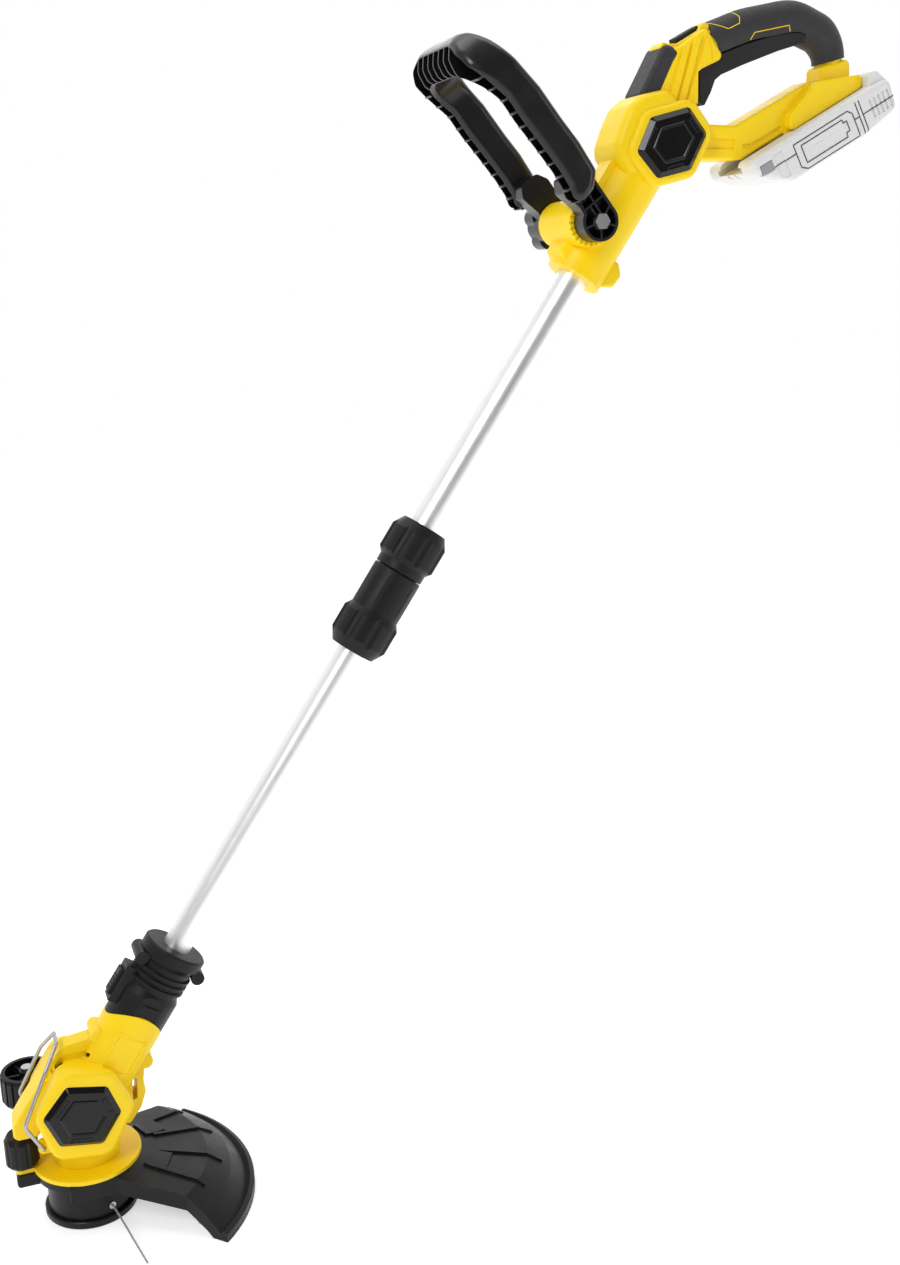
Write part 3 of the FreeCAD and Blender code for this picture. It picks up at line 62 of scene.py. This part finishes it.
class Look:
    """A node material under construction: one shader, with helpers for its inputs."""

    def __init__(self, name, colour, roughness, metallic=0.0, **sockets):
        self.material = bpy.data.materials.new(name)
        self.material.use_nodes = True
        self.tree = self.material.node_tree
        self.shader = self.tree.nodes["Principled BSDF"]
        self.shader.inputs["Base Color"].default_value = (*colour, 1)
        self.shader.inputs["Roughness"].default_value = roughness
        self.shader.inputs["Metallic"].default_value = metallic
        for socket, value in sockets.items():
            self.shader.inputs[socket.replace("_", " ").title().replace("Ior", "IOR")].default_value = value
        self.colour = colour
        self.place = self.node("ShaderNodeTexCoord").outputs["Object"]
        self.normal = None

    def node(self, kind, **values):
        made = self.tree.nodes.new(kind)
        for key, value in values.items():
            if hasattr(made, key):
                setattr(made, key, value)
            else:
                made.inputs[key].default_value = value
        return made

    def link(self, source, target):
        self.tree.links.new(source, target)

    def stretched(self, scale, turn=(0, 0, 0)):
        """Object coordinates turned, then scaled differently along each axis."""
        turned = self.node("ShaderNodeMapping", vector_type="POINT")
        turned.inputs["Rotation"].default_value = turn
        self.link(self.place, turned.inputs["Vector"])
        sized = self.node("ShaderNodeMapping", vector_type="POINT")
        sized.inputs["Scale"].default_value = scale
        self.link(turned.outputs["Vector"], sized.inputs["Vector"])
        return sized.outputs["Vector"]

    def noise(self, scale, detail=3.0, place=None):
        texture = self.node("ShaderNodeTexNoise")
        texture.inputs["Scale"].default_value = scale
        texture.inputs["Detail"].default_value = detail
        self.link(place or self.place, texture.inputs["Vector"])
        return texture.outputs["Fac"]

    def span(self, value, low, high, start=0.0, end=1.0):
        """Maps low..high of a value to start..end."""
        mapped = self.node("ShaderNodeMapRange")
        for socket, number in zip(("From Min", "From Max", "To Min", "To Max"), (low, high, start, end)):
            mapped.inputs[socket].default_value = number
        self.link(value, mapped.inputs["Value"])
        return mapped.outputs["Result"]

    def sum(self, first, second, operation="ADD"):
        maths = self.node("ShaderNodeMath", operation=operation)
        self.link(first, maths.inputs[0])
        if isinstance(second, (int, float)):
            maths.inputs[1].default_value = second
        else:
            self.link(second, maths.inputs[1])
        return maths.outputs[0]

    def edges(self, radius):
        """Near 1 on outside and inside edges, and 0 on flat ground."""
        bevel = self.node("ShaderNodeBevel", samples=6)
        bevel.inputs["Radius"].default_value = radius
        geometry = self.node("ShaderNodeNewGeometry")
        dot = self.node("ShaderNodeVectorMath", operation="DOT_PRODUCT")
        self.link(bevel.outputs["Normal"], dot.inputs[0])
        self.link(geometry.outputs["Normal"], dot.inputs[1])
        return self.span(dot.outputs["Value"], 0.995, 0.80)

    def round_edges(self, radius):
        """Catches light along edges as a moulded radius does."""
        bevel = self.node("ShaderNodeBevel", samples=6)
        bevel.inputs["Radius"].default_value = radius
        self.normal = bevel.outputs["Normal"]
        self.link(self.normal, self.shader.inputs["Normal"])

    def bump(self, height, distance, strength=1.0):
        bump = self.node("ShaderNodeBump")
        bump.inputs["Distance"].default_value = distance
        bump.inputs["Strength"].default_value = strength
        self.link(height, bump.inputs["Height"])
        if self.normal:
            self.link(self.normal, bump.inputs["Normal"])
        self.normal = bump.outputs["Normal"]
        self.link(self.normal, self.shader.inputs["Normal"])

    def paint(self, mask, colour, onto=None):
        """Mixes another colour in where the mask is high."""
        mix = self.node("ShaderNodeMix", data_type="RGBA")
        self.link(mask, mix.inputs[0])
        if onto is None:
            mix.inputs[6].default_value = (*self.colour, 1)
        else:
            self.link(onto, mix.inputs[6])
        mix.inputs[7].default_value = (*colour, 1)
        self.link(mix.outputs[2], self.shader.inputs["Base Color"])
        return mix.outputs[2]

    def roughness(self, value):
        self.link(value, self.shader.inputs["Roughness"])


def shade(colour, factor):
    return tuple(channel * factor for channel in colour)


def moulded(name, colour, roughness, grain=2600, depth=0.00003, edge=0.0005, wear_and_highlight=0.25, wear_and_highlight_to=1.6,
            **sockets):
    """Moulded plastic: fine spark-eroded grain, slight flow marks, and paler, smoother edges that are partly
    wear and partly a painted highlight.
    """
    look = Look(name, colour, roughness, **sockets)
    look.round_edges(edge)
    look.bump(look.noise(grain, 2), depth, 0.35)
    flow = look.noise(14, 4)
    base = look.paint(look.span(flow, 0.35, 0.75, 0, 0.35), shade(colour, 0.86))
    # Paler edges broken up by noise: partly wear, partly a painted highlight along outside and inside edges.
    edge_wear_and_highlight = look.sum(look.edges(0.0011), look.span(look.noise(420, 5), 0.42, 0.66), "MULTIPLY")
    look.paint(look.sum(edge_wear_and_highlight, wear_and_highlight, "MULTIPLY"), tuple(min(1, c * wear_and_highlight_to + 0.01) for c in colour), base)
    look.roughness(look.sum(look.span(look.noise(60, 5), 0.3, 0.7, roughness - 0.05, roughness + 0.06),
                            look.sum(edge_wear_and_highlight, -0.08, "MULTIPLY")))
    return look.material


def brushed(name, colour, roughness, streaks, turn=(0, 0, 0), depth=0.000012, metallic=1.0, **sockets):
    """Drawn or ground metal: fine streaks along one direction, with a few handling marks."""
    look = Look(name, colour, roughness, metallic, **sockets)
    look.round_edges(0.0002)
    grain = look.noise(1.0, 3, look.stretched(streaks, turn))
    look.bump(grain, depth, 0.5)
    marks = look.noise(90, 6)
    look.paint(look.span(marks, 0.52, 0.75, 0, 0.25), shade(colour, 0.8))
    look.roughness(look.sum(look.span(grain, 0.3, 0.7, roughness - 0.07, roughness + 0.07),
                            look.span(marks, 0.5, 0.8, 0, 0.08)))
    return look.material


def rubber(name, colour, roughness):
    """Soft overmould: matte, with a dusty bloom, a fine skin texture and a painted highlight along its edges.
    """
    look = Look(name, colour, roughness, specular_ior_level=0.35, sheen_weight=0.12, sheen_roughness=0.5)
    look.round_edges(0.0006)
    cells = look.node("ShaderNodeTexVoronoi", feature="DISTANCE_TO_EDGE")
    cells.inputs["Scale"].default_value = 1500
    look.link(look.place, cells.inputs["Vector"])
    look.bump(cells.outputs["Distance"], 0.00006, 0.35)
    bloom = look.noise(38, 6)
    base = look.paint(look.span(bloom, 0.45, 0.75, 0, 0.5), shade(colour, 1.45))
    # Painted highlight: every edge lighter, a sheen painted into the colour.
    look.paint(look.sum(look.edges(0.0012), 0.3, "MULTIPLY"), shade(colour, 2.2), base)
    look.roughness(look.span(look.noise(120, 4), 0.3, 0.7, roughness - 0.08, roughness + 0.08))
    return look.material


def nylon(name, colour):
    """Trimmer line: slightly milky, with faint lengthwise drawing marks."""
    look = Look(name, colour, 0.3, subsurface_weight=0.15, transmission_weight=0.1)
    look.bump(look.noise(2400, 3), 0.00002, 0.4)
    look.paint(look.span(look.noise(160, 4), 0.4, 0.7, 0, 0.4), shade(colour, 0.8))
    look.roughness(look.span(look.noise(500, 3), 0.3, 0.7, 0.24, 0.38))
    return look.material


SHAFT_TURN = (0, -SHAFT_LEAN, 0)
YELLOW = (0.95, 0.66, 0.002)
BLACK = (0.007, 0.007, 0.008)
LOW_SHEEN = {"specular_ior_level": 0.22}
# In the moulded looks, the edge-lightening amount and factor paint paler edges: partly wear, partly a painted
# highlight, most of all on the black parts.
LOOKS = {
    "tube_alloy": brushed("tube_alloy", (0.9, 0.905, 0.91), 0.38, (2600, 2600, 25), SHAFT_TURN),
    "yellow_shell": moulded("yellow_shell", YELLOW, 0.4, wear_and_highlight=0.2, wear_and_highlight_to=1.05, specular_ior_level=0.32),
    "clamp_black": moulded("clamp_black", (0.008, 0.008, 0.009), 0.42, wear_and_highlight=0.35, wear_and_highlight_to=5, **LOW_SHEEN),
    "dark_plastic": moulded("dark_plastic", (0.014, 0.014, 0.015), 0.48, wear_and_highlight=0.3, wear_and_highlight_to=4, **LOW_SHEEN),
    "grip_rubber": rubber("grip_rubber", (0.024, 0.024, 0.026), 0.66),
    "badge_gloss": moulded("badge_gloss", (0.003, 0.003, 0.0035), 0.16, grain=900, depth=0.000004, wear_and_highlight=0.1,
                           wear_and_highlight_to=10, specular_ior_level=0.24, coat_weight=0.12, coat_roughness=0.06),
    "screw_steel": brushed("screw_steel", (0.34, 0.34, 0.35), 0.38, (900, 900, 900)),
    "bright_steel": brushed("bright_steel", (0.5, 0.5, 0.51), 0.3, (300, 300, 3000)),
    "motor_steel": brushed("motor_steel", (0.5, 0.5, 0.52), 0.34, (300, 300, 2600)),
    "bronze": brushed("bronze", (0.58, 0.36, 0.16), 0.42, (900, 900, 900)),
    "guard_black": moulded("guard_black", BLACK, 0.4, grain=1500, depth=0.00005, wear_and_highlight=0.45, wear_and_highlight_to=9,
                           specular_ior_level=0.22),
    "wheel_black": moulded("wheel_black", BLACK, 0.4, wear_and_highlight=0.5, wear_and_highlight_to=9, **LOW_SHEEN),
    "wire_chrome": brushed("wire_chrome", (0.42, 0.42, 0.43), 0.34, (1500, 1500, 60), depth=0.000004),
    "spool_black": moulded("spool_black", BLACK, 0.36, wear_and_highlight=0.5, wear_and_highlight_to=9, **LOW_SHEEN),
    "eyelet_alloy": brushed("eyelet_alloy", (0.5, 0.5, 0.51), 0.3, (1500, 1500, 1500)),
    "nylon_line": nylon("nylon_line", (0.3, 0.31, 0.32)),
    "trigger_grey": moulded("trigger_grey", (0.018, 0.018, 0.02), 0.5, wear_and_highlight=0.3, wear_and_highlight_to=4, **LOW_SHEEN),
    "loop_black": moulded("loop_black", (0.005, 0.005, 0.006), 0.3, grain=1900, depth=0.00002, edge=0.0008,
                          wear_and_highlight=0.5, wear_and_highlight_to=12, specular_ior_level=0.36, coat_weight=0.2, coat_roughness=0.2),
    "battery_case": moulded("battery_case", (0.72, 0.72, 0.72), 0.45, wear_and_highlight=0.0),
    "cell_wrap": moulded("cell_wrap", (0.08, 0.22, 0.45), 0.25, wear_and_highlight=0.1),
    "latch_grey": moulded("latch_grey", (0.3, 0.3, 0.31), 0.45, wear_and_highlight=0.2),
}

SLOT_OF = {part["node"]: part["material_slot"] for part in frame["record"]["subparts"]}
for name, node in NODES.items():
    look = LOOKS[SLOT_OF[name]]
    if not node.data.materials:
        node.data.materials.append(look)
    for i in range(len(node.data.materials)):
        node.data.materials[i] = look


# ------------------------------------------------------------------ pieces

def add_mesh(name, bm, body, slot, look=None):
    mesh = bpy.data.meshes.new(name)
    bm.normal_update()
    bm.to_mesh(mesh)
    bm.free()
    piece = bpy.data.objects.new(name, mesh)
    bpy.context.scene.collection.objects.link(piece)
    mesh.materials.append(look or LOOKS[slot])
    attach(piece, body)
    return piece


def add_curve(name, splines, radius, body, slot, look=None, kind="POLY"):
    """Round beads along lines of points."""
    curve = bpy.data.curves.new(name, "CURVE")
    curve.dimensions = "3D"
    curve.bevel_depth = radius
    curve.bevel_resolution = 4
    curve.use_fill_caps = True
    for points in splines:
        spline = curve.splines.new(kind)
        spline.points.add(len(points) - 1)
        for point, spot in zip(spline.points, points):
            point.co = (*spot, 1)
        if kind == "NURBS":
            spline.order_u = 3
            spline.use_endpoint_u = True
            spline.resolution_u = 24
    piece = bpy.data.objects.new(name, curve)
    bpy.context.scene.collection.objects.link(piece)
    curve.materials.append(look or LOOKS[slot])
    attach(piece, body)
    return piece


# Free end of the cutting line, drawn out of its eyelet by the spool's spin
LINE_ROUTE = [(14.9, -34.6, 15.0), (20.3, -56.0, 12.4), (26.6, -82.0, 7.6), (33.2, -107.5, 2.9)]
LINE_DIAMETER = 0.0018

route = [tuple(c * MM for c in point) for point in LINE_ROUTE]
line = add_curve("cutting_line_end", [route], LINE_DIAMETER / 2, "spool", "nylon_line", kind="NURBS")
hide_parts("cutting_line")


# Lines laid on a surface: the distance between their points, and how far out each is dropped from
LAY_STEP = 0.0012
LAY_FROM = 0.3


def surface_tree(*names):
    """One search tree over the surfaces of several nodes."""
    verts, faces = [], []
    for name in names:
        mesh = NODES[name].data
        start = len(verts)
        verts += [v.co.copy() for v in mesh.vertices]
        faces += [[start + i for i in polygon.vertices] for polygon in mesh.polygons]
    return BVHTree.FromPolygons(verts, faces)


def densely(points, step):
    """Points along a broken line, about a step apart."""
    out = []
    for start, end in zip(points, points[1:]):
        count = max(1, int((end - start).length / step))
        out += [start.lerp(end, i / count) for i in range(count)]
    return out + [points[-1]]


def laid_on(tree, points, side, lift):
    """Lays a line drawn in x, z (millimetres) on the surface seen from one side."""
    laid = []
    for spot in densely([Vector((x * MM, z * MM)) for x, z in points], LAY_STEP):
        hit, normal, _, _ = tree.ray_cast(Vector((spot.x, side * LAY_FROM, spot.y)), Vector((0, -side, 0)))
        if hit:
            laid.append(hit + normal * lift)
    return laid


# Thin yellow lines let into the soft grip
GRIP_TREE = surface_tree("grip_rubber")
INLAYS = [[(610.8, 1007.5), (627.6, 1001.5), (638.4, 1006.1), (640, 1012.2), (636.5, 1017)],
          [(648, 988.5), (653.6, 999.1), (688.2, 1005.8), (693.5, 996.5)]]
INLAY_RADIUS = 0.00042
for i, inlay in enumerate(INLAYS):
    sides = [laid_on(GRIP_TREE, inlay, side, -0.0001) for side in (NEAR, FAR)]
    add_curve(f"grip_inlay_{i + 1}", [s for s in sides if len(s) > 2], INLAY_RADIUS, "handle", "yellow_shell")


def facet(bm, points, y, side, border, rise, sink):
    """A raised border with a sunk middle, on a face square to Y; points are x, z in millimetres."""
    ring = [bm.verts.new((x * MM, side * y, z * MM)) for x, z in points]
    face = bm.faces.new(ring)
    face.normal_update()
    if face.normal.y * side < 0:
        face.normal_flip()
    for share, depth in ((0.35, rise), (0.3, 0), (0.35, -sink)):
        bmesh.ops.inset_individual(bm, faces=[face], thickness=border * share, depth=depth)


# Outlines of the glossy six-sided covers, in x and z
COVERS = [
    ("head_badges", "head", [(-36, 114), (-14, 140), (20, 133), (30, 106), (12, 79), (-24, 85)]),
    ("handle_badges", "handle", [(532, 899), (545, 927), (582, 936), (600, 914), (584, 884), (552, 877)]),
]
RIM_SHARE = 0.60
PAD_SHARES = (0.68, 0.83)
PAD_ENDS = (0.16, 0.84)


def shrunk(points, share):
    """An outline drawn in towards its own middle."""
    x = sum(p[0] for p in points) / len(points)
    z = sum(p[1] for p in points) / len(points)
    return [(x + (p[0] - x) * share, z + (p[1] - z) * share) for p in points]


def edge_pad(points, edge):
    """A flat pad between a cover's raised middle and its rim, along one edge."""
    corners = []
    for share, ends in ((PAD_SHARES[0], PAD_ENDS), (PAD_SHARES[1], PAD_ENDS[::-1])):
        ring = shrunk(points, share)
        start, end = ring[edge], ring[(edge + 1) % len(ring)]
        corners += [(start[0] + (end[0] - start[0]) * at, start[1] + (end[1] - start[1]) * at) for at in ends]
    return corners


for node, body, points in COVERS:
    face_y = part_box(node)[1].y + 0.00002
    bm = bmesh.new()
    for side in (NEAR, FAR):
        facet(bm, shrunk(points, RIM_SHARE), face_y, side, 0.0034, 0.0008, 0.0011)
        for edge in (0, 2, 4):
            facet(bm, edge_pad(points, edge), face_y, side, 0.0016, 0.0007, 0.0003)
    add_mesh(f"{node}_facets", bm, body, "badge_gloss")


# Raised moulded border round the sunk panel on each flank of the head's neck
SHAFT_FOOT = 98.5
NECK_BORDER = [(61, 13), (82, 13), (82, -13), (52, -13)]
NECK_RIDGE = 0.0013
NECK_TREE = surface_tree("head_shell_near", "head_shell_far")


def shaft_point(s, h):
    """The (x, z) of a point given along and square to the shaft, in millimetres."""
    c, n = math.cos(SHAFT_LEAN), math.sin(SHAFT_LEAN)
    return (s * n - h * c, SHAFT_FOOT + s * c + h * n)


border = [shaft_point(s, h) for s, h in NECK_BORDER]
sides = [laid_on(NECK_TREE, border, side, -0.0001) for side in (NEAR, FAR)]
add_curve("neck_panel_border", sides, NECK_RIDGE, "head", "yellow_shell")


# Thin dark joint lines and panels of the battery's case
BATTERY_SLOPE = math.radians(27.6)
BATTERY_CORNER = (648.0, 895.0)
BATTERY_TREE = surface_tree("battery_top", "battery_base")
GASKET = moulded("battery_joint_lines", (0.045, 0.045, 0.05), 0.6, wear_and_highlight=0)


def battery_point(u, v):
    c, s = math.cos(BATTERY_SLOPE), math.sin(BATTERY_SLOPE)
    return (BATTERY_CORNER[0] + u * c - v * s, BATTERY_CORNER[1] + u * s + v * c)


PANEL_LINES = [
    [(34, -8), (96, -8), (100, -12), (100, -33), (40, -33), (34, -29), (34, -8)],
    [(41, -12), (88, -12), (88, -15), (92, -15), (92, -24), (88, -24), (88, -28), (41, -28), (41, -12)],
    [(106, -5), (106, -34)],
    [(110, -5), (110, -34)],
    [(-9, -16), (10, -16), (24, -16), (34, -16)],
    [(100, -18), (106, -18)],
    [(110, -18), (147, -18)],
]
for side, word in ((NEAR, "near"), (FAR, "far")):
    laid = []
    for points in PANEL_LINES:
        laid.append(laid_on(BATTERY_TREE, [battery_point(u, v) for u, v in points], side, -0.00005))
    add_curve(f"battery_lines_{word}", [points for points in laid if len(points) > 2], 0.00055, "battery",
              "battery_case", GASKET)


# ------------------------------------------------------------------ floor, light, camera

FLOOR_HALF = 6.0


def stage_floor():
    bm = bmesh.new()
    bmesh.ops.create_grid(bm, x_segments=8, y_segments=8, size=FLOOR_HALF)
    mesh = bpy.data.meshes.new("floor")
    bm.to_mesh(mesh)
    bm.free()
    floor = bpy.data.objects.new("floor", mesh)
    bpy.context.scene.collection.objects.link(floor)
    look = Look("floor_paint", (0.8, 0.8, 0.8), 0.85, specular_ior_level=0.2, emission_color=(1, 1, 1, 1),
                emission_strength=0.52)
    look.paint(look.span(look.noise(3, 3), 0.3, 0.8, 0, 0.15), (0.76, 0.76, 0.76))
    mesh.materials.append(look.material)


# Soft lamps, each with its place, size and power in watts; all point at the middle of the trimmer
LAMPS = {
    "key": ((-1.6, -1.7, 2.6), (0.9, 1.6), 46),
    "fill": ((2.4, -1.6, 1.2), (0.5, 1.6), 9),
    "top": ((0.5, 0.3, 3.0), (2.2, 1.2), 16),
    "rim": ((1.0, 2.2, 1.8), (1.8, 1.0), 6),
}
LAMP_AIM = Vector((0.35, 0, 0.55))


def area_light(name, place, size, power):
    data = bpy.data.lights.new(name, "AREA")
    data.shape = "RECTANGLE"
    data.size, data.size_y = size
    data.energy = power
    lamp = bpy.data.objects.new(name, data)
    lamp.location = place
    lamp.rotation_euler = (LAMP_AIM - Vector(place)).to_track_quat("-Z", "Y").to_euler()
    bpy.context.scene.collection.objects.link(lamp)


# Strength of the room's light from the near side and from the far side
ROOM_LIGHT = (0.24, 1.0)
# Brightness of the backdrop itself, which is the same all round
BACKDROP = 1.0


def light_scene():
    """An even backdrop, room light that is stronger behind the object than in front, and the lamps."""
    world = bpy.data.worlds.new("studio")
    bpy.context.scene.world = world
    world.use_nodes = True
    tree = world.node_tree
    background = tree.nodes["Background"]
    background.inputs["Color"].default_value = (1, 1, 1, 1)
    place = tree.nodes.new("ShaderNodeTexCoord")
    split = tree.nodes.new("ShaderNodeSeparateXYZ")
    fade = tree.nodes.new("ShaderNodeMapRange")
    fade.interpolation_type = "SMOOTHSTEP"
    for socket, number in zip(("From Min", "From Max", "To Min", "To Max"), (-0.55, 0.6, *ROOM_LIGHT)):
        fade.inputs[socket].default_value = number
    tree.links.new(place.outputs["Generated"], split.inputs[0])
    tree.links.new(split.outputs["Y"], fade.inputs["Value"])
    rays = tree.nodes.new("ShaderNodeLightPath")
    seen = tree.nodes.new("ShaderNodeMix")
    seen.inputs["B"].default_value = BACKDROP
    tree.links.new(rays.outputs["Is Camera Ray"], seen.inputs["Factor"])
    tree.links.new(fade.outputs["Result"], seen.inputs["A"])
    tree.links.new(seen.outputs["Result"], background.inputs["Strength"])
    for name, lamp in LAMPS.items():
        area_light(name, *lamp)


# The camera stands low in front and to the near side, looking back along the shaft.
CAMERA_PLACE = Vector((-0.06627, -1.17682, 0.80734))
CAMERA_RIGHT = Vector((0.93720, -0.34756, -0.02931))
CAMERA_UP = Vector((0.11238, 0.22135, 0.96870))
CAMERA_BACK = Vector((-0.33019, -0.91116, 0.24651))
LENS = 40.7
SENSOR = 36.0


def add_camera():
    data = bpy.data.cameras.new("camera")
    data.sensor_width = SENSOR
    data.lens = LENS
    data.clip_start = 0.01
    camera = bpy.data.objects.new("camera", data)
    turn = Matrix((CAMERA_RIGHT, CAMERA_UP, CAMERA_BACK)).transposed()
    camera.matrix_world = Matrix.Translation(CAMERA_PLACE) @ turn.to_4x4()
    bpy.context.scene.collection.objects.link(camera)
    bpy.context.scene.camera = camera


stage_floor()
light_scene()
add_camera()
bpy.context.scene.view_settings.view_transform = "Standard"
